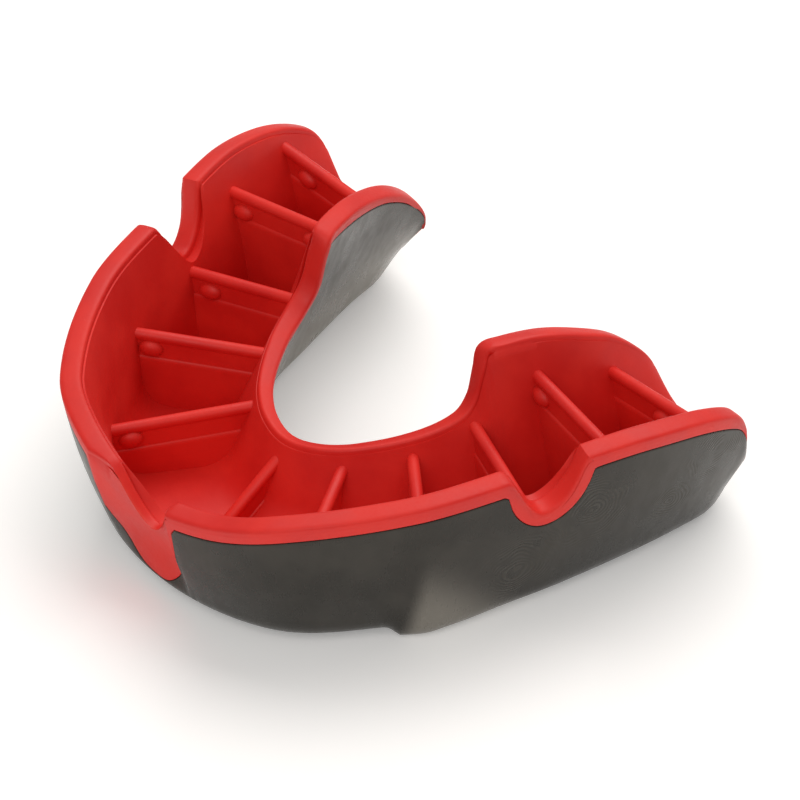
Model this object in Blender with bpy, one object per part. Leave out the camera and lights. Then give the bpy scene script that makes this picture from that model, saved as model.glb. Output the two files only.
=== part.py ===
"""Self-fit mouthguard: a firm outer shell bonded round a soft fitting liner with eleven cross fins.

Millimetres inside this file, turned to metres by SCALE when a mesh is made.
X runs across the arch, the front teeth face -Y, and the tooth channel opens upwards.
"""

import math

import bmesh
import bpy
from mathutils import Vector

SCALE = 0.001

# Wall build-up
WALL = 2.4  # outer wall, liner and shell together
WALL_REAR = 2.0  # the same at its rear end
THIN_START = 42.0  # arch position where the outer wall begins to thin
PALATAL_WALL_FRONT = 1.6
PALATAL_WALL_REAR = 2.1
SHELL = 0.8  # thickness of the outer shell
CLEARANCE = 0.3  # between the shell and the liner, and round each fin
LIP_DEPTH = 1.9  # how far the liner's lip comes down over the shell's top edge
END_LIP_EXTRA = 3.0  # added to the lip's depth at the rear end
LIP_FLAT = 0.55  # height of the rounded part of the lip
LIP_SQUARENESS = 0.7  # 1 gives a half ellipse, and less gives a flatter top
BULGE = 0.4  # how far the outer wall swells out, half-way up

# Heights
CHANNEL_FLOOR = 3.4  # bottom of the tooth channel
FRONT_LEVEL = 0.1  # underside in front of the bite pads
PAD_LEVEL = -0.4  # underside of the bite pads, which the piece rests on
PAD_START = 21.5  # arch position where the bite pads begin
PAD_RAMP = 1.6  # length of the slope down to the pads
PAD_EDGE_END = 33.0  # the pad's sharp front corner has faded out here
HEEL_START = 55.5  # arch position where the underside and the floor turn up to the end
HEEL_RISE = 3.4  # of the underside at the end
HEEL_FLOOR_RISE = 1.4  # of the channel floor at the end
END_SETTLE = 2.0  # how fast the lip's direction turns to the wall's own at the rear end

# Notches in the outer wall
FRENUM_HALF_WIDTH = 3.6
FRENUM_DEPTH = 5.2
LATERAL_CENTRE = 33.65
LATERAL_HALF_WIDTH = 3.6
LATERAL_DEPTH = 6.4
LATERAL_ROUNDNESS = 0.65  # power of a dip's profile: 0.5 is a half ellipse, 1 a parabola

# Gaps that the notches leave in the shell's top edge
FRENUM_GAP_HALF_WIDTH = 4.2
FRENUM_GAP_DEPTH = 12.4
FRENUM_GAP_ROUNDNESS = 0.5
LATERAL_GAP_CENTRE = 34.35
LATERAL_GAP_HALF_WIDTH = 4.0
LATERAL_GAP_ROUNDNESS = 0.55

# Rounding where the walls meet the underside and the channel floor
OUTER_FILLET = 3.0
PAD_FILLET = 1.8
INNER_FILLET = 3.0
LEAST_FILLET = 0.8
FILLET_SHARE_ACROSS = 0.45  # a fillet takes up at most these shares of the two lines it joins
FILLET_SHARE_UP = 0.9

# Fins
FIN_THICKNESS = 0.8
BEAD_RADIUS = 0.58
BEAD_POINTS = 6
FIN_OVERRUN = 3.0  # past both ends, before the fin is trimmed to the channel
FIN_DROP = 16.0  # below the bead, before trimming
HEADROOM = 4.0  # how far the trimming space goes on above the rims

# Mesh density
STATION_STEP = 2.5
SHORTEST_STEP = 0.1
STEP_SHRINK = 0.7  # each try at a step that turned out too long
LAST_STEP_SHARE = 0.3  # a last step shorter than this share is merged with the one before
TANGENT_STEP = 0.05  # to either side, for the direction along a guide
LIP_POINTS = 2
LIP_FACE_POINTS = 2
WALL_POINTS = 2
FILLET_POINTS = 3

ARCH_END = 62.6
END_LIP = 1.7  # the liner's own edge past the end of the shell
END_RECESS = 0.05  # the end's own surface lies this much inside the shell's
END_RAMP = 0.05  # length over which the liner steps out past the shell's end
ORIGIN = (0.0, 0.31, PAD_LEVEL)  # middle of the arch, on the plane that the bite pads rest on

SHARP_ANGLE = 40.0  # degrees between faces, for shading
LINER_COLOUR = (0.62, 0.035, 0.03)
LINER_ROUGHNESS = 0.45
SHELL_COLOUR = (0.035, 0.033, 0.028)
SHELL_ROUGHNESS = 0.5

# Guide curves of the wearer's left half: arch position, x, y, z
OUTER_RIM = [
    (0.0, 0.0, -29.0, 15.8),
    (6.9, 9.2, -27.4, 16.6),
    (12.9, 16.4, -24.3, 18.8),
    (23.6, 25.1, -12.9, 20.4),
    (33.3, 29.7, 0.0, 21.1),
    (41.9, 32.7, 9.4, 21.6),
    (46.5, 33.8, 14.6, 21.1),
    (51.1, 34.2, 19.7, 19.9),
    (55.2, 33.9, 24.0, 17.8),
    (57.6, 33.6, 25.7, 15.8),
    (60.0, 33.3, 26.6, 13.2),
    (62.6, 32.7, 26.9, 10.0),
]
PALATAL_RIM = [
    (0.0, 0.0, -8.2, 11.6),
    (6.9, 3.9, -7.3, 12.1),
    (12.9, 7.2, -4.9, 12.8),
    (23.6, 10.9, 0.2, 13.9),
    (31.0, 12.6, 4.3, 15.2),
    (34.6, 12.9, 6.1, 17.2),
    (36.3, 12.9, 7.0, 20.4),
    (37.8, 12.8, 7.8, 22.6),
    (40.2, 13.6, 9.8, 23.1),
    (44.0, 15.0, 14.2, 22.6),
    (49.0, 16.4, 18.9, 20.9),
    (53.5, 17.1, 22.4, 19.1),
    (57.5, 17.8, 25.2, 16.6),
    (60.0, 18.4, 26.9, 14.0),
    (62.6, 19.4, 27.8, 10.8),
]
# Sharp corners where each wall would meet the underside: arch position, x, y
OUTER_CORNER = [
    (0.0, 0.0, -25.7),
    (6.9, 8.9, -24.4),
    (12.9, 15.7, -20.7),
    (21.4, 21.9, -12.3),
    (24.5, 24.1, -9.2),
    (33.3, 26.9, 0.7),
    (41.9, 28.6, 10.4),
    (51.1, 29.6, 19.8),
    (57.0, 29.6, 26.0),
    (62.6, 29.0, 30.4),
]
PALATAL_CORNER = [
    (0.0, 0.0, -12.2),
    (6.9, 4.9, -11.2),
    (12.9, 9.1, -8.6),
    (23.6, 14.0, -2.8),
    (33.3, 17.7, 3.9),
    (41.9, 20.0, 11.4),
    (51.1, 22.8, 20.2),
    (57.0, 24.2, 26.0),
    (62.6, 24.3, 29.9),
]

CENTRE_FIN = ((0.0, -8.6, 10.5), (0.0, -16.5, 5.6))
# Fins of the left half: name, inner end of the bead, outer end of the bead
FINS = [
    ("fin_front", (7.0, -6.6, 11.2), (14.8, -19.3, 10.1)),
    ("fin_canine", (11.8, -1.1, 12.5), (22.6, -9.6, 13.4)),
    ("fin_premolar", (15.1, 5.0, 15.0), (26.0, 1.2, 14.2)),
    ("fin_molar", (16.7, 12.1, 19.5), (30.4, 10.1, 18.4)),
    ("fin_rear", (18.4, 20.7, 16.8), (31.0, 19.7, 18.4)),
]


def smooth_step(value):
    value = min(max(value, 0.0), 1.0)
    return value * value * (3.0 - 2.0 * value)


def along(guide, s):
    """Point of a guide curve at arch position s, as a cubic through its control points."""
    reflected = [(-guide[1][0], -guide[1][1]) + guide[1][2:]] + guide
    last = guide[-1]
    before = guide[-2]
    beyond = tuple(2.0 * a - b for a, b in zip(last, before))
    points = reflected + [beyond]
    index = 1
    while index < len(points) - 3 and s > points[index + 1][0]:
        index += 1
    a, b, c, d = points[index - 1 : index + 3]
    width = c[0] - b[0]
    t = (s - b[0]) / width
    result = []
    for axis in range(1, len(b)):
        slope_b = (c[axis] - a[axis]) / (c[0] - a[0]) * width
        slope_c = (d[axis] - b[axis]) / (d[0] - b[0]) * width
        h1 = 2.0 * t**3 - 3.0 * t**2 + 1.0
        h2 = t**3 - 2.0 * t**2 + t
        h3 = -2.0 * t**3 + 3.0 * t**2
        h4 = t**3 - t**2
        result.append(h1 * b[axis] + h2 * slope_b + h3 * c[axis] + h4 * slope_c)
    return Vector(result)


def heel(s):
    """0 along the arch, rising to 1 at its rear end."""
    return smooth_step((abs(s) - HEEL_START) / (ARCH_END - HEEL_START))


def pad(s):
    """0 in front, 1 along the bite pads."""
    return smooth_step((abs(s) - PAD_START) / PAD_RAMP)


def underside(s):
    return FRONT_LEVEL + (PAD_LEVEL - FRONT_LEVEL) * pad(s) + HEEL_RISE * heel(s)


def mirrored(point, sign):
    return Vector((sign * point.x, point.y, point.z))


def at(guide, s):
    """Guide point for a signed arch position: negative positions lie on the wearer's right half."""
    point = along(guide, abs(s))
    if len(point) == 2:
        point = Vector((point.x, point.y, underside(s)))
    return mirrored(point, -1.0 if s < 0.0 else 1.0)


def dip(s, centre, half_width, roundness):
    """1 at the centre of a rounded dip, and 0 from its half width on."""
    reach = min(abs(abs(s) - centre) / half_width, 1.0)
    return (1.0 - reach**2) ** roundness


def lip_depth(s):
    """How far the lip comes down a wall: more at the rear end, where the rim itself drops steeply."""
    return LIP_DEPTH + END_LIP_EXTRA * heel(s)


def notch_drop(s):
    """How far the outer wall's rim lies below its unbroken height."""
    frenum = FRENUM_DEPTH * (1.0 - smooth_step(abs(s) / FRENUM_HALF_WIDTH))
    lateral = LATERAL_DEPTH * dip(s, LATERAL_CENTRE, LATERAL_HALF_WIDTH, LATERAL_ROUNDNESS)
    return frenum + lateral


def parting_depth(s):
    """Distance from the unbroken rim down the outer wall to the top edge of the shell."""
    frenum = dip(s, 0.0, FRENUM_GAP_HALF_WIDTH, FRENUM_GAP_ROUNDNESS)
    lateral = dip(s, LATERAL_GAP_CENTRE, LATERAL_GAP_HALF_WIDTH, LATERAL_GAP_ROUNDNESS)
    return lip_depth(s) + FRENUM_GAP_DEPTH * frenum + LATERAL_DEPTH * lateral


def no_drop(s):
    return 0.0


def outer_wall(s):
    return WALL + (WALL_REAR - WALL) * smooth_step((abs(s) - THIN_START) / (ARCH_END - THIN_START))


def palatal_wall(s):
    share = smooth_step(abs(s) / LATERAL_CENTRE)
    return PALATAL_WALL_FRONT + (PALATAL_WALL_REAR - PALATAL_WALL_FRONT) * share


def part_way(points, start, end):
    """The polyline's points, moved along it so that they span only from start to end."""
    lengths = [0.0]
    for a, b in zip(points, points[1:]):
        lengths.append(lengths[-1] + (b - a).length)
    full = lengths[-1]
    end = full if end is None else end
    result = []
    for length in lengths:
        wanted = start + (end - start) * length / full
        index = 0
        while index < len(points) - 2 and wanted > lengths[index + 1]:
            index += 1
        share = (wanted - lengths[index]) / (lengths[index + 1] - lengths[index])
        result.append(points[index].lerp(points[index + 1], share))
    return result


class Wall:
    """One wall of the channel at one arch position, with its rim, base corner and directions."""

    def __init__(self, rim_guide, corner_guide, s, drop, thickness, bulge, outward):
        def rim_at(position):
            top = at(rim_guide, position)
            down = (at(corner_guide, position) - top).normalized()
            return top + down * drop(position)

        self.thickness = thickness
        self.bulge = bulge
        self.top = at(rim_guide, s)
        self.rim = rim_at(s)
        self.corner = at(corner_guide, s)
        low = max(s - TANGENT_STEP, -ARCH_END)
        high = min(s + TANGENT_STEP, ARCH_END)
        level_run = at(rim_guide, high) - at(rim_guide, low)
        level_run += at(corner_guide, high) - at(corner_guide, low)
        level_run.z = 0.0
        rise = self.top - self.corner
        self.drop = (self.rim - self.top).length
        self.down = -rise.normalized()
        self.normal = (level_run.cross(rise) * outward).normalized()
        free = (self.normal.cross(rim_at(high) - rim_at(low)) * outward).normalized()
        self.free = free.lerp(-self.down, smooth_step(END_SETTLE * heel(s))).normalized()
        flat = Vector((self.normal.x, self.normal.y, 0.0))
        self.level = flat.normalized()
        self.lean = -self.normal.z / flat.length

    def corner_at(self, inset, height):
        """Where the wall's face, moved in by inset, stands at this height above its own base."""
        slope = math.hypot(1.0, self.lean)
        out = self.lean * height - inset * slope
        return self.corner + self.level * out + Vector((0.0, 0.0, height))

    def half_path(self, other_corner, inset, height, fillet, bulge):
        """Down the wall's face, moved in by inset, from the unbroken rim, and round to the base."""
        top = self.top + self.normal * (self.thickness / 2.0 - inset)
        corner = self.corner_at(inset, height)
        rise = top - corner
        across = other_corner - corner
        longest = min(FILLET_SHARE_ACROSS * across.length, FILLET_SHARE_UP * rise.length)
        radius = min(fillet, longest)
        start = corner + rise.normalized() * radius
        end = corner + across.normalized() * radius
        points = []
        for i in range(WALL_POINTS):
            share = i / WALL_POINTS
            swell = self.normal * (bulge * math.sin(math.pi * share))
            points.append(top.lerp(start, share) + swell)
        for i in range(FILLET_POINTS + 1):
            t = i / FILLET_POINTS
            points.append(start * (1.0 - t) ** 2 + corner * (2.0 * t * (1.0 - t)) + end * t**2)
        return points

    def lip(self):
        """Rounded top of the wall, from the channel side to the outside."""
        points = []
        count = 2 * LIP_POINTS
        for i in range(count + 1):
            angle = math.pi * (i / count - 0.5)
            across = math.copysign(abs(math.sin(angle)) ** LIP_SQUARENESS, math.sin(angle))
            up = abs(math.cos(angle)) ** LIP_SQUARENESS
            points.append(
                self.rim
                + self.normal * (across * self.thickness / 2.0)
                - self.free * (LIP_FLAT * (1.0 - up))
            )
        return points


class Section:
    """Cross-section of the mouthguard at one arch position."""

    def __init__(self, s):
        self.s = s
        self.outer = Wall(OUTER_RIM, OUTER_CORNER, s, notch_drop, outer_wall(s), BULGE, 1.0)
        self.palatal = Wall(PALATAL_RIM, PALATAL_CORNER, s, no_drop, palatal_wall(s), 0.0, -1.0)

    def halves(self, insets, height, fillet, bulge=True):
        """Outer and palatal halves of a line across the section, both from rim to base."""
        walls = (self.outer, self.palatal)
        corners = [wall.corner_at(inset, height) for wall, inset in zip(walls, insets)]
        return [
            wall.half_path(other, inset, height, fillet, wall.bulge if bulge else 0.0)
            for wall, inset, other in zip(walls, insets, corners[::-1])
        ]

    def outside(self, inset):
        faded = smooth_step((abs(self.s) - PAD_START) / (PAD_EDGE_END - PAD_START))
        fillet = OUTER_FILLET + (PAD_FILLET - OUTER_FILLET) * pad(self.s) * (1.0 - faded)
        return self.halves((inset, inset), inset, max(fillet - inset, LEAST_FILLET))

    def below_parting(self, inset, gap):
        """Outer surface, moved in by inset, between the two parting lines."""
        outer, palatal = self.outside(inset)
        outer = part_way(outer, parting_depth(self.s) + gap, None)
        palatal = part_way(palatal, lip_depth(self.s) + gap, None)
        return outer + palatal[::-1]

    def channel(self, gap):
        """Surface of the tooth channel, moved in towards the middle of the channel."""
        height = CHANNEL_FLOOR + HEEL_FLOOR_RISE * heel(self.s) - underside(self.s) + gap
        insets = (self.outer.thickness + gap, self.palatal.thickness + gap)
        outer, palatal = self.halves(insets, height, INNER_FILLET - gap, bulge=False)
        outer = part_way(outer, self.outer.drop + LIP_FLAT, None)
        palatal = part_way(palatal, LIP_FLAT, None)
        return outer + palatal[::-1]

    def shell_ring(self):
        return self.below_parting(0.0, CLEARANCE) + self.below_parting(SHELL, CLEARANCE)[::-1]

    def liner_ring(self, recess):
        outer, palatal = self.outside(0.0)
        depth = parting_depth(self.s)
        face = part_way(outer, self.outer.drop + LIP_FLAT, depth)
        step = max(len(face) // LIP_FACE_POINTS, 1)
        lip_outer = self.outer.lip() + face[step:-1:step] + [face[-1]]
        lip_palatal = self.palatal.lip() + [part_way(palatal, 0.0, lip_depth(self.s))[-1]]
        channel = self.channel(0.0)[1:-1]
        return lip_outer + self.below_parting(recess, 0.0) + lip_palatal[::-1] + channel[::-1]

    def void_ring(self):
        channel = self.channel(CLEARANCE)
        head = Vector((0.0, 0.0, HEADROOM))
        return channel + [channel[-1] + head, channel[0] + head]


def stations(start, end, step):
    """Arch positions spaced so that no guide moves more than one step between them."""
    def guides(s):
        section = Section(s)
        return (section.outer.rim, section.palatal.rim, section.below_parting(0.0, 0.0)[0])

    found = [start]
    here = guides(start)
    s = start
    while s < end:
        trial = min(s + step, end)
        while trial - s > SHORTEST_STEP:
            there = guides(trial)
            if max((a - b).length for a, b in zip(here, there)) <= step:
                break
            trial = s + (trial - s) * STEP_SHRINK
        s = trial
        here = guides(s)
        found.append(s)
    if end - found[-2] < LAST_STEP_SHARE * step:
        del found[-2]
    return found


def both_halves(positions):
    return [-s for s in reversed(positions[1:])] + positions


def new_ring(bm, points):
    verts = [bm.verts.new(point) for point in points]
    for a, b in zip(verts, verts[1:] + verts[:1]):
        bm.edges.new((a, b))
    return verts


def extrude_ring(bm, ring, points):
    """Extrudes a closed ring of edges and moves the new ring to the next section's points."""
    edges = [bm.edges.get((a, b)) for a, b in zip(ring, ring[1:] + ring[:1])]
    made = bmesh.ops.extrude_edge_only(bm, edges=edges)["geom"]
    fresh = {v for v in made if isinstance(v, bmesh.types.BMVert)}
    following = []
    for vert, point in zip(ring, points):
        partner = next(
            e.other_vert(vert) for e in vert.link_edges if e.other_vert(vert) in fresh
        )
        following.append(partner)
        partner.co = point
    return following


def loft(name, rings):
    """Closed body through a list of section rings, with a face at each end."""
    bm = bmesh.new()
    ring = new_ring(bm, rings[0])
    bm.faces.new(ring)
    for points in rings[1:]:
        ring = extrude_ring(bm, ring, points)
    bm.faces.new(ring)
    bmesh.ops.recalc_face_normals(bm, faces=bm.faces)
    return mesh_object(name, bm)


def mesh_object(name, bm):
    bmesh.ops.scale(bm, vec=(SCALE, SCALE, SCALE), verts=bm.verts)
    bmesh.ops.translate(bm, vec=Vector(ORIGIN) * -SCALE, verts=bm.verts)
    mesh = bpy.data.meshes.new(name)
    bm.to_mesh(mesh)
    bm.free()
    obj = bpy.data.objects.new(name, mesh)
    bpy.context.scene.collection.objects.link(obj)
    return obj


def material(name, colour, roughness):
    mat = bpy.data.materials.new(name)
    mat.use_nodes = True
    shader = mat.node_tree.nodes["Principled BSDF"]
    shader.inputs["Base Color"].default_value = (*colour, 1.0)
    shader.inputs["Roughness"].default_value = roughness
    shader.inputs["Metallic"].default_value = 0.0
    return mat


def finish(obj, mat):
    obj.data.materials.append(mat)
    obj.data.shade_smooth()
    obj.data.set_sharp_from_angle(angle=math.radians(SHARP_ANGLE))


def outer_shell(mat):
    positions = both_halves(stations(0.0, ARCH_END - END_LIP, STATION_STEP))
    shell = loft("outer_shell", [Section(s).shell_ring() for s in positions])
    finish(shell, mat)


def fitting_liner(mat):
    recess = SHELL + CLEARANCE
    step_at = ARCH_END - END_LIP + CLEARANCE
    inner = stations(0.0, step_at, STATION_STEP)
    rings = [Section(s).liner_ring(recess) for s in both_halves(inner)]
    for sign in (-1.0, 1.0):
        ends = [
            Section(sign * (step_at + END_RAMP)).liner_ring(END_RECESS),
            Section(sign * ARCH_END).liner_ring(END_RECESS),
        ]
        rings = rings + ends if sign > 0.0 else ends[::-1] + rings
    liner = loft("fitting_liner", rings)
    finish(liner, mat)


def channel_void():
    """Space inside the tooth channel, clear of the liner; the fins are trimmed to it."""
    positions = both_halves(stations(0.0, ARCH_END, STATION_STEP))
    void = loft("channel_void", [Section(s).void_ring() for s in positions])
    void.hide_render = True
    void.display_type = "WIRE"
    return void


def fin(name, inner, outer, void, mat):
    """Thin web with a rounded bead along its top, trimmed to the channel."""
    inner = Vector(inner)
    outer = Vector(outer)
    along_bead = (outer - inner).normalized()
    side = Vector((-along_bead.y, along_bead.x, 0.0)).normalized()
    up = Vector((0.0, 0.0, 1.0))
    neck = math.asin(FIN_THICKNESS / 2.0 / BEAD_RADIUS)
    start = inner - along_bead * FIN_OVERRUN
    run = along_bead * ((outer - inner).length + 2.0 * FIN_OVERRUN)
    profile = [start - side * (FIN_THICKNESS / 2.0) - up * FIN_DROP]
    for i in range(BEAD_POINTS + 1):
        angle = math.pi + neck + (i / BEAD_POINTS) * (2.0 * math.pi - 2.0 * neck)
        centre = start - up * BEAD_RADIUS
        profile.append(
            centre + side * (math.sin(angle) * BEAD_RADIUS) + up * (math.cos(angle) * BEAD_RADIUS)
        )
    profile.append(start + side * (FIN_THICKNESS / 2.0) - up * FIN_DROP)
    plate = loft(name, [profile, [point + run for point in profile]])
    trim = plate.modifiers.new("trim", "BOOLEAN")
    trim.operation = "INTERSECT"
    trim.object = void
    finish(plate, mat)


def build():
    for obj in list(bpy.data.objects):
        bpy.data.objects.remove(obj)
    red = material("soft_liner", LINER_COLOUR, LINER_ROUGHNESS)
    grey = material("firm_shell", SHELL_COLOUR, SHELL_ROUGHNESS)
    outer_shell(grey)
    fitting_liner(red)
    void = channel_void()
    fin("fin_centre", *CENTRE_FIN, void, red)
    for name, inner, outer in FINS:
        for side, sign in (("left", 1.0), ("right", -1.0)):
            ends = [(sign * x, y, z) for x, y, z in (inner, outer)]
            fin(f"{name}_{side}", *ends, void, red)


build()
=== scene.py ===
import math

import bmesh
import bpy
from mathutils import Matrix, Vector


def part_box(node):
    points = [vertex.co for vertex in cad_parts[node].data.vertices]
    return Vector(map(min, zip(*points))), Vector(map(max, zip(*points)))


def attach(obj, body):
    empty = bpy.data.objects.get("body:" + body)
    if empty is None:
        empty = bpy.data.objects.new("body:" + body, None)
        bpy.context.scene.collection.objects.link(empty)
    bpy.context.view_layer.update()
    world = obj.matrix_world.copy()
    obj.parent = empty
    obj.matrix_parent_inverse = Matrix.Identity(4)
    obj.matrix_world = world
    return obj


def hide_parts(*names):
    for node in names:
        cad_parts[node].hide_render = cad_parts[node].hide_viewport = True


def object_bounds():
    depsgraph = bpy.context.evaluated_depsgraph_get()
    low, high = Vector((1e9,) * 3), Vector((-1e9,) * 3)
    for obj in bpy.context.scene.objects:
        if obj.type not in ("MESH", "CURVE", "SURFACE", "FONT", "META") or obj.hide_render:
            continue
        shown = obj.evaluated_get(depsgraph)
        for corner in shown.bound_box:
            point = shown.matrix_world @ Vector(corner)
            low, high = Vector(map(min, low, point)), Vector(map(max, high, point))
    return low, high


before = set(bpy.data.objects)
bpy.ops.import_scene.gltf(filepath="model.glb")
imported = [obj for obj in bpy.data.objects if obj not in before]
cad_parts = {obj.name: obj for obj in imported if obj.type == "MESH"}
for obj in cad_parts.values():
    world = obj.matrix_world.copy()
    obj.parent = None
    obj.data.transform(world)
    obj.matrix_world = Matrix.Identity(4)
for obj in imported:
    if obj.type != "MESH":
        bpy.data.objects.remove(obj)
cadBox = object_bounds()
print("frame loaded")

# The arch is worked out in its own millimetres: x across it, front teeth towards -y, channel open upwards.
# s is the distance along the arch from the middle of the front, negative on the wearer's right.
arch = {
    "end": 62.6,
    "ringStep": 0.36,
    "tangentStep": 0.05,
    "foremost": -29.582,  # the liner's front, in these millimetres
    "padLevel": -0.4,  # underside of the bite pads
    "frontLevel": 0.1,  # underside in front of them
    "padStart": 20.6,
    "padRamp": 1.1,
    "creaseLean": 0.26,  # the pad's front edge runs forward as it climbs the wall
    "creaseTop": 9.5,
    "creaseOut": 0.25,
    "creaseWidth": 0.7,
    "padEdgeEnd": 33.0,
    "heelStart": 55.5,
    "heelRise": 3.4,
    "heelFloorRise": 1.4,
    "endSettle": 2.0,  # how soon the lips turn into line with the walls at the rear ends
    "bulge": 0.4,  # how far the outer wall swells outwards
    "heelBulge": 0.3,
    "belly": -0.7,  # how far the outer wall swells into the channel
    "outerFillet": 3.0,
    "padFillet": 1.8,
    "innerFillet": 3.0,
    "leastFillet": 0.8,
    "filletAcross": 0.45,  # a fillet takes at most this share of the base
    "filletRise": 0.9,  # and this share of the wall
    "wallPoints": 12,
    "filletPoints": 10,
    "mm": 0.001,
}
archShift = Vector((
    0.0,
    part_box("fitting_liner")[0].y / arch["mm"] - arch["foremost"],
    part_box("outer_shell")[0].z / arch["mm"] - arch["padLevel"],
))

# Guide curves of the wearer's left half: s, x, y, z
outerRim = [
    (0.0, 0.0, -29.0, 15.8),
    (6.9, 9.2, -27.4, 16.6),
    (12.9, 16.4, -24.3, 18.8),
    (23.6, 25.1, -12.9, 20.4),
    (33.3, 29.7, 0.0, 21.1),
    (41.9, 32.7, 9.4, 21.6),
    (46.5, 33.8, 14.6, 21.1),
    (51.1, 34.2, 19.7, 19.9),
    (55.2, 33.9, 24.0, 17.8),
    (57.6, 33.4, 25.6, 15.8),
    (60.0, 32.8, 26.3, 13.2),
    (62.6, 31.7, 26.4, 10.2),
]
palatalRim = [
    (0.0, 0.0, -8.2, 11.6),
    (6.9, 3.9, -7.3, 12.1),
    (12.9, 7.2, -4.9, 12.8),
    (23.6, 10.9, 0.2, 13.9),
    (31.0, 12.6, 4.3, 15.2),
    (34.6, 12.9, 6.1, 17.2),
    (36.3, 12.9, 7.0, 20.4),
    (37.8, 12.8, 7.8, 22.6),
    (40.2, 13.6, 9.8, 23.1),
    (44.0, 15.0, 14.2, 22.7),
    (49.0, 16.4, 18.9, 21.1),
    (53.5, 17.1, 22.4, 19.2),
    (57.5, 17.8, 25.2, 16.6),
    (60.0, 18.4, 26.9, 14.0),
    (62.6, 19.4, 27.8, 10.8),
]
# Where each wall would meet the underside in a sharp corner: s, x, y
outerCorner = [
    (0.0, 0.0, -25.7),
    (6.9, 8.9, -24.4),
    (12.9, 15.7, -20.7),
    (21.4, 21.9, -12.3),
    (24.5, 24.1, -9.2),
    (33.3, 26.9, 0.7),
    (41.9, 28.6, 10.4),
    (51.1, 29.6, 19.8),
    (57.0, 29.6, 26.0),
    (62.6, 29.0, 30.4),
]
palatalCorner = [
    (0.0, 0.0, -12.2),
    (6.9, 4.9, -11.2),
    (12.9, 9.1, -8.6),
    (23.6, 14.0, -2.8),
    (33.3, 17.7, 3.9),
    (41.9, 20.0, 11.4),
    (51.1, 22.8, 20.2),
    (57.0, 24.2, 26.0),
    (62.6, 24.3, 29.9),
]


def smoothStep(value):
    value = min(max(value, 0.0), 1.0)
    return value * value * (3.0 - 2.0 * value)


def along(guide, s):
    # cubic through the guide's points, mirrored at the middle of the arch
    reflected = [(-guide[1][0], -guide[1][1]) + guide[1][2:]] + guide
    beyond = tuple(2.0 * a - b for a, b in zip(guide[-1], guide[-2]))
    points = reflected + [beyond]
    index = 1
    while index < len(points) - 3 and s > points[index + 1][0]:
        index += 1
    a, b, c, d = points[index - 1 : index + 3]
    width = c[0] - b[0]
    t = (s - b[0]) / width
    result = []
    for axis in range(1, len(b)):
        slopeB = (c[axis] - a[axis]) / (c[0] - a[0]) * width
        slopeC = (d[axis] - b[axis]) / (d[0] - b[0]) * width
        result.append(
            (2.0 * t**3 - 3.0 * t**2 + 1.0) * b[axis]
            + (t**3 - 2.0 * t**2 + t) * slopeB
            + (3.0 * t**2 - 2.0 * t**3) * c[axis]
            + (t**3 - t**2) * slopeC
        )
    return Vector(result)


def heel(s):
    return smoothStep((abs(s) - arch["heelStart"]) / (arch["end"] - arch["heelStart"]))


def pad(s):
    return smoothStep((abs(s) - arch["padStart"]) / arch["padRamp"])


def underside(s):
    drop = (arch["padLevel"] - arch["frontLevel"]) * pad(s)
    return arch["frontLevel"] + drop + arch["heelRise"] * heel(s)


def at(guide, s):
    point = along(guide, abs(s))
    if len(point) == 2:
        point = Vector((point.x, point.y, underside(s)))
    return Vector((math.copysign(point.x, s) if point.x else 0.0, point.y, point.z))


def dip(position, centre, before, after):
    # 1 at the centre; each side has its own half width and roundness
    width, roundness = before if position < centre else after
    reach = min(abs(position - centre) / width, 1.0)
    return (1.0 - reach**2) ** roundness


def softened(shape, s, reach):
    # the shape averaged over a short stretch of the arch, which rounds its corners
    count = walls["softeningSteps"]
    return sum(shape(s + reach * k / count) for k in range(-count, count + 1)) / (2 * count + 1)


# Walls: lips, notches and the edge between the two materials
walls = {
    "thick": 2.4,
    "thickRear": 2.0,
    "thinStart": 42.0,
    "palatalFront": 1.6,
    "palatalRear": 2.4,
    "shell": 0.8,
    "lipDepth": 1.9,  # from the rim down to the shell's edge
    "endLipExtra": -0.8,
    "palatalLipRear": 1.3,
    "palatalLipRun": 9.0,
    "lipRound": 0.75,
    "lipSquareness": 0.5,
    "lipClearance": 0.05,
    # each notch: depth, centre, then half width and roundness before and after the centre
    "frenum": (5.6, 0.8, (4.5, 1.6), (2.6, 1.2)),
    "lateral": (6.4, 34.0, (3.3, 1.5), (3.5, 0.62)),
    "frenumGap": (12.4, 0.0, (6.2, 0.3), (3.9, 0.45)),
    "lateralGap": (6.4, 34.35, (3.75, 0.6), (4.05, 0.55)),
    "cornerSoftening": 0.3,
    "softeningSteps": 4,
    "groove": (1.8, 0.6, (6.4, 0.9), (3.0, 0.6)),  # hollow that runs down the front below the frenum notch
    "grooveFoot": 1.7,
    "grooveFade": 4.0,
    "floor": 3.4,
    "endLip": 0.4,  # the liner runs this far past the shell at each rear end
    "endRound": 0.5,
    "endSteps": 4,
    "endMargin": 0.1,
    "shellEndRound": 0.3,
    "partingGap": 0.07,
    "partingRound": 0.14,
    "partingShoulder": 0.3,  # share of that round at its middle
    "backing": 0.03,  # gap behind the shell
    "skim": 0.02,  # how far the liner's ends lie below the shell's surface
    "skinPoints": 26,
    "liningPoints": 16,
    "lipSteps": 16,
    "facePoints": 6,
    "backPoints": 14,
    "channelPoints": 26,
    "shellSharpAngle": 40.0,
    "linerSharpAngle": 50.0,
}


def notch(key, position):
    depth, centre, before, after = walls[key]
    return depth * dip(position, centre, before, after)


def sharpNotch(s):
    return notch("frenum", s) + notch("lateral", abs(s))


def notchDrop(s):
    return softened(sharpNotch, s, walls["cornerSoftening"])


def lipDepth(s):
    return walls["lipDepth"] + walls["endLipExtra"] * heel(s)


def palatalLipDepth(s):
    rear = smoothStep((abs(s) - walls["thinStart"]) / walls["palatalLipRun"])
    return lipDepth(s) + (walls["palatalLipRear"] - walls["lipDepth"]) * rear


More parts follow.
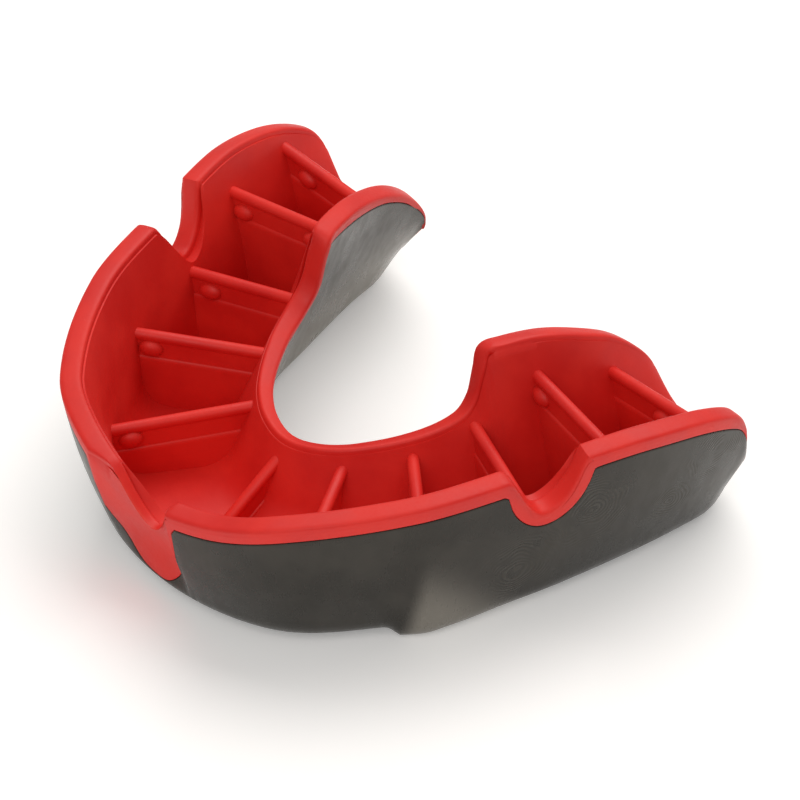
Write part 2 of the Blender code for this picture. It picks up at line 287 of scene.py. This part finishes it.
def sharpGap(s):
    return notch("frenumGap", s) + notch("lateralGap", abs(s))


def partingDepth(s):
    return lipDepth(s) + softened(sharpGap, s, walls["cornerSoftening"] / 2.0)


def groove(s):
    return notch("groove", s)


def unbroken(s):
    # for a wall with no notch and no groove
    return 0.0


def outerThickness(s):
    share = smoothStep((abs(s) - walls["thinStart"]) / (arch["end"] - walls["thinStart"]))
    return walls["thick"] + (walls["thickRear"] - walls["thick"]) * share


def palatalThickness(s):
    share = smoothStep(abs(s) / walls["thinStart"])
    return walls["palatalFront"] + (walls["palatalRear"] - walls["palatalFront"]) * share


def lengthsOf(points):
    lengths = [0.0]
    for a, b in zip(points, points[1:]):
        lengths.append(lengths[-1] + (b - a).length)
    return lengths


def readAt(points, lengths, wanted):
    index = 0
    while index < len(points) - 2 and wanted > lengths[index + 1]:
        index += 1
    share = (wanted - lengths[index]) / (lengths[index + 1] - lengths[index])
    return points[index].lerp(points[index + 1], share)


def partWay(points, start, end, count):
    # count points, evenly spaced along the line from start to end, or to its last point where end is None
    lengths = lengthsOf(points)
    end = lengths[-1] if end is None else end
    return [readAt(points, lengths, start + (end - start) * i / (count - 1)) for i in range(count)]


class Wall:
    def __init__(self, rimGuide, cornerGuide, s, drop, thickness, outward, hollow):
        def rimAt(position):
            top = at(rimGuide, position)
            return top + (at(cornerGuide, position) - top).normalized() * drop(position)

        self.thickness = thickness
        self.hollow = hollow(s)
        self.top = at(rimGuide, s)
        self.rim = rimAt(s)
        self.corner = at(cornerGuide, s)
        low = max(s - arch["tangentStep"], -arch["end"])
        high = min(s + arch["tangentStep"], arch["end"])
        run = at(rimGuide, high) - at(rimGuide, low) + at(cornerGuide, high) - at(cornerGuide, low)
        run.z = 0.0
        rise = self.top - self.corner
        self.drop = (self.rim - self.top).length
        self.down = -rise.normalized()
        self.normal = (run.cross(rise) * outward).normalized()
        free = (self.normal.cross(rimAt(high) - rimAt(low)) * outward).normalized()
        self.free = free.lerp(-self.down, smoothStep(arch["endSettle"] * heel(s))).normalized()
        flat = Vector((self.normal.x, self.normal.y, 0.0))
        self.level = flat.normalized()
        self.lean = -self.normal.z / flat.length

    def cornerAt(self, inset, height):
        out = self.lean * height - inset * math.hypot(1.0, self.lean)
        return self.corner + self.level * out + Vector((0.0, 0.0, height))

    def halfPath(self, otherCorner, inset, height, fillet, bulge):
        # down the wall's face from its unbroken rim, and round to the base
        top = self.top + self.normal * (self.thickness / 2.0 - inset)
        corner = self.cornerAt(inset, height)
        rise = top - corner
        across = otherCorner - corner
        radius = min(fillet, arch["filletAcross"] * across.length, arch["filletRise"] * rise.length)
        start = corner + rise.normalized() * radius
        end = corner + across.normalized() * radius
        points = []
        for i in range(arch["wallPoints"]):
            share = i / arch["wallPoints"]
            swell = self.normal * (bulge * math.sin(math.pi * share))
            points.append(top.lerp(start, share) + swell)
        for i in range(arch["filletPoints"] + 1):
            t = i / arch["filletPoints"]
            points.append(start * (1.0 - t) ** 2 + corner * (2.0 * t * (1.0 - t)) + end * t**2)
        return points

    def lip(self, shrink, count):
        # rounded top of the wall, from the channel side to the outside
        points = []
        for i in range(count + 1):
            angle = math.pi * (i / count - 0.5)
            power = walls["lipSquareness"]
            across = math.copysign(abs(math.sin(angle)) ** power, math.sin(angle))
            fall = walls["lipRound"] * (1.0 - abs(math.cos(angle)) ** power)
            half = self.thickness / 2.0 - shrink - (self.hollow if across > 0.0 else 0.0)
            points.append(self.rim + self.normal * (across * half) - self.free * (fall + shrink))
        return points


class Section:
    def __init__(self, s):
        self.s = s
        self.outer = Wall(outerRim, outerCorner, s, notchDrop, outerThickness(s), 1.0, groove)
        self.palatal = Wall(palatalRim, palatalCorner, s, unbroken, palatalThickness(s), -1.0, unbroken)

    def halves(self, insets, height, fillet, bulge):
        # outer and palatal halves of a line across the arch, both from rim to base
        pair = (self.outer, self.palatal)
        corners = [wall.cornerAt(inset, height) for wall, inset in zip(pair, insets)]
        return [
            wall.halfPath(other, inset, height, fillet, swell)
            for wall, inset, other, swell in zip(pair, insets, corners[::-1], (bulge, 0.0))
        ]

    def outside(self, inset):
        faded = smoothStep((abs(self.s) - arch["padStart"]) / (arch["padEdgeEnd"] - arch["padStart"]))
        edge = pad(self.s) * (1.0 - faded)
        swell = arch["bulge"] + arch["heelBulge"] * heel(self.s)
        fillet = arch["outerFillet"] + (arch["padFillet"] - arch["outerFillet"]) * edge
        paths = self.halves((inset, inset), inset, max(fillet - inset, arch["leastFillet"]), swell)
        for point in paths[0]:
            share = smoothStep((point.z - walls["grooveFoot"]) / walls["grooveFade"])
            climb = point.z - arch["padLevel"]
            start = arch["padStart"] - arch["creaseLean"] * climb
            step = smoothStep((abs(self.s) - start) / arch["creaseWidth"]) * (1.0 - faded)
            crease = arch["creaseOut"] * step * (1.0 - smoothStep(climb / arch["creaseTop"]))
            point += self.outer.normal * (crease - self.outer.hollow * share)
        return paths

    def channel(self, gap, count):
        height = walls["floor"] + arch["heelFloorRise"] * heel(self.s) - underside(self.s) + gap
        insets = (self.outer.thickness + gap, self.palatal.thickness + gap)
        outer, palatal = self.halves(insets, height, arch["innerFillet"] - gap, arch["belly"])
        lipBase = walls["lipRound"] + walls["lipClearance"]
        outer = partWay(outer, self.outer.drop + lipBase, None, count)
        palatal = partWay(palatal, lipBase, None, count)
        return outer + palatal[::-1][1:]


# Rings of points across the arch
def shellRing(s, shrink=0.0):
    section = Section(s)
    gap = walls["partingGap"] + shrink
    bend = walls["partingRound"]
    shoulder = walls["partingShoulder"] * bend
    depths = (partingDepth(s), palatalLipDepth(s))
    skin = []
    for path, depth, wall in zip(section.outside(shrink), depths, (section.outer, section.palatal)):
        start = depth + gap
        lengths = lengthsOf(path)
        edge = readAt(path, lengths, start)
        roundedEdge = [
            edge - wall.normal * bend,
            edge - wall.normal * shoulder + wall.down * shoulder,
            readAt(path, lengths, start + bend),
            readAt(path, lengths, start + 2.0 * bend),
        ]
        skin.append(roundedEdge + partWay(path, start, None, walls["skinPoints"])[1:])
    outside = skin[0] + skin[1][::-1][1:]
    lining = []
    for path, depth in zip(section.outside(walls["shell"] - shrink), depths):
        lining.append(partWay(path, depth + gap, None, walls["liningPoints"]))
    inside = lining[0] + lining[1][::-1][1:]
    return outside + inside[::-1]


def linerRing(s, recess, shrink=0.0):
    section = Section(s)
    bend = walls["partingRound"]
    shoulder = walls["partingShoulder"] * bend
    depths = (partingDepth(s), palatalLipDepth(s))
    lipBase = walls["lipRound"] + walls["lipClearance"]
    sides = []
    for path, depth, wall in zip(section.outside(shrink), depths, (section.outer, section.palatal)):
        face = partWay(path, wall.drop + lipBase + shrink, depth - bend, walls["facePoints"])
        edge = readAt(path, lengthsOf(path), depth)
        rolled = [edge - wall.normal * shoulder - wall.down * shoulder, edge - wall.normal * bend]
        sides.append(wall.lip(shrink, walls["lipSteps"]) + face + rolled)
    backs = []
    for path, depth in zip(section.outside(recess + shrink), depths):
        backs.append(partWay(path, depth, None, walls["backPoints"]))
    back = backs[0] + backs[1][::-1][1:]
    channel = section.channel(-shrink, walls["channelPoints"])
    return sides[0] + back + sides[1][::-1] + channel[::-1]


def stations(end, step):
    count = math.ceil(2.0 * end / step)
    return [end * (2.0 * i / count - 1.0) for i in range(count + 1)]


def extrudeRing(bm, ring, points):
    edges = [bm.edges.get((a, b)) for a, b in zip(ring, ring[1:] + ring[:1])]
    made = bmesh.ops.extrude_edge_only(bm, edges=edges)["geom"]
    fresh = {item for item in made if isinstance(item, bmesh.types.BMVert)}
    following = []
    for vert, point in zip(ring, points):
        partner = next(e.other_vert(vert) for e in vert.link_edges if e.other_vert(vert) in fresh)
        following.append(partner)
        partner.co = point
    return following


def capRing(bm, ring, lining, fan):
    # triangles between the ring's outside and its lining, the ring's last points; a lip closes as a fan
    if not lining:
        bmesh.ops.triangulate(bm, faces=[bm.faces.new(ring)], ngon_method="EAR_CLIP")
        return
    outside, inside = ring[:-lining], ring[-lining:][::-1]
    lastOut, lastIn = len(outside) - 1, len(inside) - 1
    i = j = 0
    while i < lastOut or j < lastIn:
        a, b = outside[i], inside[j]
        if i < fan or j == lastIn:
            advance = True
        elif i == lastOut - fan:
            advance = False
        else:
            advance = (outside[i + 1].co - b.co).length <= (a.co - inside[j + 1].co).length
        bm.faces.new((a, outside[i + 1], b) if advance else (a, inside[j + 1], b))
        i, j = (i + 1, j) if advance else (i, j + 1)


def loft(rings, lining=0, fan=0):
    # a closed body through the rings, capped at both ends
    bm = bmesh.new()
    ring = [bm.verts.new(point) for point in rings[0]]
    for a, b in zip(ring, ring[1:] + ring[:1]):
        bm.edges.new((a, b))
    capRing(bm, ring, lining, fan)
    for points in rings[1:]:
        ring = extrudeRing(bm, ring, points)
    capRing(bm, ring, lining, fan)
    bmesh.ops.recalc_face_normals(bm, faces=bm.faces)
    return bm


def makePiece(name, bm, material, sharpAngle):
    bmesh.ops.scale(bm, vec=Vector((1.0, 1.0, 1.0)) * arch["mm"], verts=bm.verts)
    bmesh.ops.translate(bm, vec=archShift * arch["mm"], verts=bm.verts)
    if material:
        # keeps the piece inside the model's box; the void that trims the fins stands past it
        for vert in bm.verts:
            vert.co = Vector([min(max(c, low), high) for c, low, high in zip(vert.co, *cadBox)])
    mesh = bpy.data.meshes.new(name)
    bm.to_mesh(mesh)
    bm.free()
    piece = bpy.data.objects.new(name, mesh)
    bpy.context.scene.collection.objects.link(piece)
    mesh.shade_smooth()
    mesh.set_sharp_from_angle(angle=math.radians(sharpAngle))
    if material:
        mesh.materials.append(material)
    return piece


def roundedEnd(end, radius, start=0.0):
    # pairs of position and shrink that round off the last stretch of the arch, from the start on
    count = walls["endSteps"]
    first = math.asin(max(1.0 - (end - start) / radius, 0.0))
    result = []
    for i in range(count + 1):
        angle = first + (0.5 * math.pi - first) * i / count
        result.append((end - radius * (1.0 - math.sin(angle)), radius * (1.0 - math.cos(angle))))
    return result


# Shader maths on sockets
noiseSpread = (0.3, 0.7)  # where nearly all of a noise's values lie


class Wire:
    def __init__(self, tree, socket):
        self.tree = tree
        self.socket = socket

    def maths(self, operation, first, second):
        return self.tree.node("ShaderNodeMath", {"operation": operation}, {0: first, 1: second})

    def __add__(self, other):
        return self.maths("ADD", self, other)

    def __radd__(self, other):
        return self.maths("ADD", other, self)

    def __mul__(self, other):
        return self.maths("MULTIPLY", self, other)

    def __rmul__(self, other):
        return self.maths("MULTIPLY", other, self)

    def limit(self, low, high, toLow=0.0, toHigh=1.0):
        return self.tree.node(
            "ShaderNodeMapRange",
            {"clamp": True, "interpolation_type": "SMOOTHSTEP"},
            {"Value": self, "From Min": low, "From Max": high, "To Min": toLow, "To Max": toHigh},
        )


class Finish:
    def __init__(self, name, fixed):
        self.material = bpy.data.materials.new(name)
        self.material.use_nodes = True
        self.nodes = self.material.node_tree.nodes
        self.links = self.material.node_tree.links
        self.shader = self.nodes["Principled BSDF"]
        for socket, value in fixed.items():
            self.shader.inputs[socket].default_value = value

    def node(self, kind, settings=None, sockets=None, output=0):
        made = self.nodes.new(kind)
        for key, value in (settings or {}).items():
            setattr(made, key, value)
        for key, value in (sockets or {}).items():
            self.feed(made.inputs[key], value)
        return Wire(self, made.outputs[output])

    def feed(self, socket, value):
        if isinstance(value, Wire):
            self.links.new(value.socket, socket)
        else:
            socket.default_value = value

    def place(self, scale=(1.0, 1.0, 1.0), turn=(0.0, 0.0, 0.0), shift=(0.0, 0.0, 0.0)):
        coordinates = self.node("ShaderNodeTexCoord", output="Object")
        return self.node(
            "ShaderNodeMapping",
            {"vector_type": "POINT"},
            {"Vector": coordinates, "Scale": scale, "Rotation": turn, "Location": shift},
        )

    def axes(self):
        split = self.node("ShaderNodeSeparateXYZ", {}, {0: self.place()})
        return [Wire(self, output) for output in split.socket.node.outputs]

    def grain(self, size, detail=3.0, rough=0.5, where=None):
        # cloudy noise whose lumps are about this many metres across
        where = where or self.place()
        return self.node(
            "ShaderNodeTexNoise",
            {"noise_dimensions": "3D"},
            {"Vector": where, "Scale": 1.0 / size, "Detail": detail, "Roughness": rough},
        )

    def blend(self, factor, first, second):
        # sockets 6, 7 and output 2 are the node's colours
        return self.node("ShaderNodeMix", {"data_type": "RGBA"}, {0: factor, 6: first, 7: second}, output=2)

    def bump(self, height, distance, strength=1.0, under=None):
        sockets = {"Height": height, "Distance": distance, "Strength": strength}
        if under:
            sockets["Normal"] = under
        return self.node("ShaderNodeBump", {}, sockets)

    def finish(self, **outputs):
        for key, value in outputs.items():
            self.feed(self.shader.inputs[key.replace("_", " ")], value)
        return self.material


redLook = {
    "colour": (0.74, 0.024, 0.016, 1.0),
    "deep": (0.66, 0.017, 0.013, 1.0),
    "scuffed": (0.78, 0.09, 0.07, 1.0),
    "scuffs": (0.7, 0.78),  # part of the speckle that is scuffed
    "scuffStrength": 0.5,
    "cloud": 0.007,
    "cloudEdges": (0.35, 0.65),
    "speckle": 0.0006,
    "grain": 0.00035,
    "grainHeight": 0.00002,
    "ripple": 0.0025,
    "rippleHeight": 0.00004,
    "roughLow": 0.44,
    "roughHigh": 0.56,
    "roughGrain": 0.03,
    "fixed": {
        "Specular IOR Level": 0.34,
        "Subsurface Weight": 0.08,
        "Subsurface Radius": (0.0012, 0.0002, 0.00015),
        "Subsurface Scale": 1.0,
    },
}


def softRed():
    look = Finish("softLiner", redLook["fixed"])
    cloud = look.grain(redLook["cloud"], detail=4.0)
    grain = look.grain(redLook["grain"], detail=2.0)
    speckle = look.grain(redLook["speckle"], detail=5.0, rough=0.7)
    ripple = look.grain(redLook["ripple"], detail=2.0)
    colour = look.blend(cloud.limit(*redLook["cloudEdges"]), redLook["deep"], redLook["colour"])
    marks = speckle.limit(*redLook["scuffs"]) * redLook["scuffStrength"]
    colour = look.blend(marks, colour, redLook["scuffed"])
    rough = cloud.limit(*noiseSpread, redLook["roughLow"], redLook["roughHigh"])
    rough = rough + grain.limit(*noiseSpread, -redLook["roughGrain"], redLook["roughGrain"])
    normal = look.bump(grain, redLook["grainHeight"], strength=0.6)
    normal = look.bump(ripple, redLook["rippleHeight"], strength=0.5, under=normal)
    return look.finish(Base_Color=colour, Roughness=rough, Normal=normal)


greyLook = {
    "colour": (0.019, 0.0175, 0.0145, 1.0),
    "dull": (0.034, 0.031, 0.026, 1.0),
    # painted reflection of the pale floor, lightening the grey low on the palatal side
    "paintedReflection": (0.2, 0.185, 0.16, 1.0),
    "reflectionHeight": (0.002, 0.015),  # fades out between these heights,
    "reflectionWidth": (0.025, 0.0275),  # these distances from the middle,
    "reflectionFront": (-0.013, -0.011),  # and these places towards the front
    "cloud": 0.006,
    "cloudEdges": (0.35, 0.7),
    "fine": 0.0004,
    "fineHeight": 0.00001,
    "streak": 0.0012,
    "streakStretch": (1.0, 1.0, 0.25),
    "roughLow": 0.24,
    "roughHigh": 0.36,
    "roughStreak": 0.05,
    "ridge": 0.00047,  # from one skin ridge to the next
    "ridgeColour": (0.058, 0.054, 0.046, 1.0),
    "ridgeStrength": 0.75,
    "ridgeRough": 0.2,
    "ridgeHeight": 0.00002,
    "swirl": 0.005,
    "swirlReach": 0.004,
    "crest": (-0.6, 0.9),  # part of the wave that is ridge
    "patch": 0.0035,
    "patchEdges": (0.38, 0.5),
    "clearPart": 0.55,  # share of a print's reach that is not faded
    # finger marks: centre and reach
    "prints": [
        ((0.0313, 0.0058, 0.0131), 0.0065),
        ((0.0285, -0.0014, 0.0075), 0.006),
        ((0.0336, 0.0219, 0.0143), 0.0055),
        ((0.0322, 0.0167, 0.0089), 0.0035),
    ],
    "fixed": {"Specular IOR Level": 0.3, "Specular Tint": (1.0, 0.92, 0.82, 1.0)},
}


def fingerMarks(look):
    # rings of skin ridges round each print's centre, broken into patches
    swirl = look.grain(greyLook["swirl"], detail=1.0) * greyLook["swirlReach"]
    ridges = 0.0
    for centre, reach in greyLook["prints"]:
        offset = look.place(shift=tuple(-c for c in centre))
        distance = look.node("ShaderNodeVectorMath", {"operation": "LENGTH"}, {0: offset}, output="Value")
        turns = (distance + swirl) * (2.0 * math.pi / greyLook["ridge"])
        ring = look.node("ShaderNodeMath", {"operation": "SINE"}, {0: turns}).limit(*greyLook["crest"])
        ridges = ring * distance.limit(greyLook["clearPart"] * reach, reach, 1.0, 0.0) + ridges
    return ridges * look.grain(greyLook["patch"], detail=2.0).limit(*greyLook["patchEdges"])


def paintedFloorReflection(look):
    # painted reflection of the pale floor: lighter grey low on the arch, wherever it is near the middle
    # line and behind the front teeth
    across, forward, high = look.axes()
    low, far = (width**2 for width in greyLook["reflectionWidth"])
    paintedReflection = high.limit(*greyLook["reflectionHeight"], 1.0, 0.0) * (across * across).limit(low, far, 1.0, 0.0)
    return paintedReflection * forward.limit(*greyLook["reflectionFront"])


def firmGrey():
    look = Finish("firmShell", greyLook["fixed"])
    cloud = look.grain(greyLook["cloud"], detail=4.0)
    fine = look.grain(greyLook["fine"], detail=3.0)
    streak = look.grain(greyLook["streak"], 3.0, 0.6, look.place(scale=greyLook["streakStretch"]))
    ridges = fingerMarks(look)
    colour = look.blend(cloud.limit(*greyLook["cloudEdges"]), greyLook["colour"], greyLook["dull"])
    # painted floor reflection: paler grey low down behind the front teeth
    colour = look.blend(paintedFloorReflection(look), colour, greyLook["paintedReflection"])
    colour = look.blend(ridges * greyLook["ridgeStrength"], colour, greyLook["ridgeColour"])
    rough = cloud.limit(*noiseSpread, greyLook["roughLow"], greyLook["roughHigh"])
    rough = rough + streak.limit(*noiseSpread, -greyLook["roughStreak"], greyLook["roughStreak"])
    rough = rough + ridges * greyLook["ridgeRough"]
    normal = look.bump(fine, greyLook["fineHeight"], strength=0.5)
    normal = look.bump(ridges, greyLook["ridgeHeight"], strength=0.6, under=normal)
    return look.finish(Base_Color=colour, Roughness=rough, Normal=normal)


red = softRed()
grey = firmGrey()
print("materials ready")


def innerStations(limit):
    # the evenly spaced rings between the two rounded ends
    return [s for s in stations(arch["end"], arch["ringStep"]) if abs(s) < limit - walls["endMargin"]]


def buildShell():
    ends = roundedEnd(arch["end"] - walls["endLip"], walls["shellEndRound"])
    rings = [shellRing(-s, shrink) for s, shrink in reversed(ends)]
    rings += [shellRing(s) for s in innerStations(ends[0][0])]
    rings += [shellRing(s, shrink) for s, shrink in ends]
    lining = 2 * walls["liningPoints"] - 1
    return makePiece("shellSkin", loft(rings, lining), grey, walls["shellSharpAngle"])


def buildLiner():
    recess = walls["shell"] + walls["backing"]
    stepAt = arch["end"] - walls["endLip"] + walls["partingGap"]
    bend = walls["partingRound"]
    rounded = roundedEnd(arch["end"], walls["endRound"], stepAt + bend)
    shrink = rounded[0][1] / 2.0
    skim = walls["skim"]
    ends = [(stepAt, recess, shrink), (stepAt + skim, bend, shrink)]
    ends += [(s, skim, shrink) for s, shrink in rounded]
    rings = [linerRing(-s, depth, shrink) for s, depth, shrink in reversed(ends)]
    rings += [linerRing(s, recess) for s in innerStations(stepAt)]
    rings += [linerRing(s, depth, shrink) for s, depth, shrink in ends]
    lining = 2 * walls["channelPoints"] - 1
    return makePiece("liner", loft(rings, lining, walls["lipSteps"]), red, walls["linerSharpAngle"])


# Fins: thin webs with a rounded bead along the top, a low ledge on the front face and lumps below the bead
fins = {
    "thickness": 0.8,
    "bead": 0.66,
    "beadSides": 18,
    "overrun": 3.0,
    "drop": 16.0,
    "sunk": 0.45,  # how far a fin runs into the liner
    "ledgeDepth": 3.2,
    "ledgeOut": 0.22,
    "ledgeRound": 0.5,
    "ledgeSteps": 4,
    "lump": (1.35, 1.0, 0.85),
    "lumpSubdivisions": 4,
    "voidPoints": 12,
    "voidStep": 1.0,
    "headroom": 4.0,
    "mergeDistance": 0.0000005,  # in metres
    "sharpAngle": 35.0,
}
# top of each bead on the wearer's left, from its inner to its outer end
finLines = {
    "centre": ((0.02, -8.6, 10.5), (0.02, -16.5, 5.6)),
    "front": ((7.0, -6.6, 11.2), (14.8, -19.3, 10.1)),
    "canine": ((11.8, -1.1, 12.5), (22.6, -9.6, 13.4)),
    "premolar": ((15.1, 5.0, 15.0), (26.0, 1.2, 14.2)),
    "molar": ((16.7, 12.1, 19.5), (30.4, 10.1, 18.4)),
    "rear": ((18.4, 20.7, 16.8), (30.3, 19.75, 18.35)),
}
# lumps: distance from the bead's outer end (or from its inner end where negative), and drop below the bead
lumps = {
    "centre": [],
    "front": [(1.2, 1.9)],
    "canine": [(1.2, 2.0)],
    "premolar": [(2.0, 2.3)],
    "molar": [(2.2, 2.4), (-1.6, 2.2)],
    "rear": [(2.0, 2.2)],
}


def voidRing(s):
    points = Section(s).channel(-fins["sunk"], fins["voidPoints"])
    head = Vector((0.0, 0.0, fins["headroom"]))
    return points + [points[-1] + head, points[0] + head]


def channelVoid():
    # what the fins are trimmed to: the channel, slightly enlarged
    rings = [voidRing(s) for s in stations(arch["end"], fins["voidStep"])]
    return makePiece("channelVoid", loft(rings), None, fins["sharpAngle"])


def finProfile(start, front, up):
    # outline of the web and its bead, seen along the bead
    half = fins["thickness"] / 2.0
    radius = fins["bead"]
    neck = math.asin(half / radius)
    centre = start - up * radius
    outline = [start - front * half - up * fins["drop"]]
    for i in range(fins["beadSides"] + 1):
        angle = math.pi + neck + (i / fins["beadSides"]) * (2.0 * math.pi - 2.0 * neck)
        outline.append(centre + front * (math.sin(angle) * radius) + up * (math.cos(angle) * radius))
    ledge = start - up * fins["ledgeDepth"] + front * half
    for i in range(fins["ledgeSteps"] + 1):
        turn = 0.5 * math.pi * i / fins["ledgeSteps"]
        rise = front * (fins["ledgeOut"] * math.sin(turn))
        outline.append(ledge + rise - up * (fins["ledgeRound"] * (1.0 - math.cos(turn))))
    outline.append(start + front * (half + fins["ledgeOut"]) - up * fins["drop"])
    return outline


def buildFin(name, line, lumpList, void):
    inner, outer = Vector(line[0]), Vector(line[1])
    run = (outer - inner).normalized()
    up = Vector((0.0, 0.0, 1.0))
    front = Vector((run.y, -run.x, 0.0)).normalized()
    if run.x == 0.0:
        front = Vector((1.0, 0.0, 0.0))  # the centre fin's ledge faces the wearer's left
    elif front.y > 0.0:
        front = -front
    start = inner - run * fins["overrun"]
    reach = run * ((outer - inner).length + 2.0 * fins["overrun"])
    profile = finProfile(start, front, up)
    slab = loft([profile, [point + reach for point in profile]])
    plate = makePiece(name, slab, red, fins["sharpAngle"])
    trim = plate.modifiers.new("trim", "BOOLEAN")
    trim.operation = "INTERSECT"
    trim.solver = "EXACT"
    trim.use_self = True
    trim.object = void
    graph = bpy.context.evaluated_depsgraph_get()
    trimmed = bpy.data.meshes.new_from_object(plate.evaluated_get(graph))
    plate.modifiers.clear()
    bm = bmesh.new()
    bm.from_mesh(trimmed)
    bmesh.ops.remove_doubles(bm, verts=bm.verts, dist=fins["mergeDistance"])
    for distance, drop in lumpList:
        near = outer - run * distance if distance > 0.0 else inner - run * distance
        place = near - up * drop + front * (fins["thickness"] / 2.0)
        turn = Matrix((run, up, front)).transposed().to_4x4()
        stretch = Matrix.Diagonal((*fins["lump"], 1.0))
        where = Matrix.Translation((place + archShift) * arch["mm"]) @ Matrix.Scale(arch["mm"], 4)
        matrix = where @ turn @ stretch
        bmesh.ops.create_icosphere(bm, subdivisions=fins["lumpSubdivisions"], radius=1.0, matrix=matrix)
    bmesh.ops.recalc_face_normals(bm, faces=bm.faces)
    bm.to_mesh(plate.data)
    bm.free()
    plate.data.shade_smooth()
    plate.data.set_sharp_from_angle(angle=math.radians(fins["sharpAngle"]))
    return plate


pieces = []
liner = buildLiner()
pieces.append((liner, "liner", "fitting_liner"))
print("liner made")
shell = buildShell()
pieces.append((shell, "shell", "outer_shell"))
print("shell made")
void = channelVoid()
for key, line in finLines.items():
    sides = (("", 1.0),) if key == "centre" else (("Left", 1.0), ("Right", -1.0))
    for side, sign in sides:
        ends = [(sign * x, y, z) for x, y, z in line]
        node = "fin_" + key + ("_" + side.lower() if side else "")
        fin = buildFin(key + "Fin" + side, ends, lumps[key], void)
        pieces.append((fin, "liner", node))
bpy.data.objects.remove(void)
print("fins made")

for piece, slotName, node in pieces:
    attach(piece, "root")
    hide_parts(node)

# Floor, lights and camera
studio = {
    "floorSize": 6.0,
    "floorCloud": 0.4,
    "floorColour": (0.93, 0.93, 0.93, 1.0),
    "floorLight": (0.95, 0.95, 0.95, 1.0),
    "floorFixed": {
        "Specular IOR Level": 0.2,
        "Roughness": 0.7,
        "Emission Color": (1.0, 1.0, 1.0, 1.0),
        "Emission Strength": 0.22,
    },
    "world": 0.36,
    "keyPower": 8.0,
    "keySize": 1.0,
    "keyPlace": (-0.2, 0.45, 0.9),
    "fillPower": 4.2,
    "fillSize": 0.8,
    "fillPlace": (0.45, -0.75, 0.95),
    "tint": (1.0, 0.97, 0.93),
}
middle = (cadBox[0] + cadBox[1]) / 2.0


def plainFloor():
    look = Finish("paleFloor", studio["floorFixed"])
    tone = look.grain(studio["floorCloud"], detail=2.0).limit(*noiseSpread)
    return look.finish(Base_Color=look.blend(tone, studio["floorColour"], studio["floorLight"]))


bm = bmesh.new()
bmesh.ops.create_grid(bm, x_segments=1, y_segments=1, size=studio["floorSize"] / 2.0)
floorMesh = bpy.data.meshes.new("floor")
bm.to_mesh(floorMesh)
bm.free()
floor = bpy.data.objects.new("floor", floorMesh)
bpy.context.scene.collection.objects.link(floor)
floor.data.transform(Matrix.Translation((0.0, 0.0, cadBox[0].z)))
floorMesh.materials.append(plainFloor())

world = bpy.data.worlds.new("studio")
world.use_nodes = True
world.node_tree.nodes["Background"].inputs["Color"].default_value = (*studio["tint"], 1.0)
world.node_tree.nodes["Background"].inputs["Strength"].default_value = studio["world"]
bpy.context.scene.world = world


def softBox(name, power, size, place):
    light = bpy.data.lights.new(name, "AREA")
    light.energy = power
    light.size = size
    light.color = studio["tint"]
    lamp = bpy.data.objects.new(name, light)
    lamp.location = place
    lamp.rotation_euler = (middle - Vector(place)).to_track_quat("-Z", "Y").to_euler()
    bpy.context.scene.collection.objects.link(lamp)


softBox("keyBox", studio["keyPower"], studio["keySize"], studio["keyPlace"])
softBox("fillBox", studio["fillPower"], studio["fillSize"], studio["fillPlace"])

# angles in degrees, lens, sensor and distances in millimetres, clipping in metres
view = {
    "azimuth": 48.009,
    "elevation": 39.0,
    "distance": 600.0,
    "right": 6.9426,
    "up": 7.3808,
    "offset": (0.0, -1.91, 3.7),
    "lens": 251.1,
    "sensor": 36.0,
    "near": 0.01,
    "far": 20.0,
}
turn, lift = math.radians(view["azimuth"]), math.radians(view["elevation"])
back = Vector((math.sin(turn) * math.cos(lift), -math.cos(turn) * math.cos(lift), math.sin(lift)))
right = Vector((math.cos(turn), math.sin(turn), 0.0))
upward = back.cross(right)
cameraData = bpy.data.cameras.new("camera")
cameraData.sensor_width = view["sensor"]
cameraData.lens = view["lens"]
cameraData.clip_start = view["near"]
cameraData.clip_end = view["far"]
camera = bpy.data.objects.new("camera", cameraData)
spot = back * view["distance"] + right * view["right"] + upward * view["up"] + Vector(view["offset"])
facing = Matrix((right, upward, back)).transposed().to_4x4()
camera.matrix_world = Matrix.Translation(spot * arch["mm"]) @ facing
bpy.context.scene.collection.objects.link(camera)
bpy.context.scene.camera = camera
bpy.context.scene.view_settings.view_transform = "Standard"
print("studio ready")

bpy.context.view_layer.update()
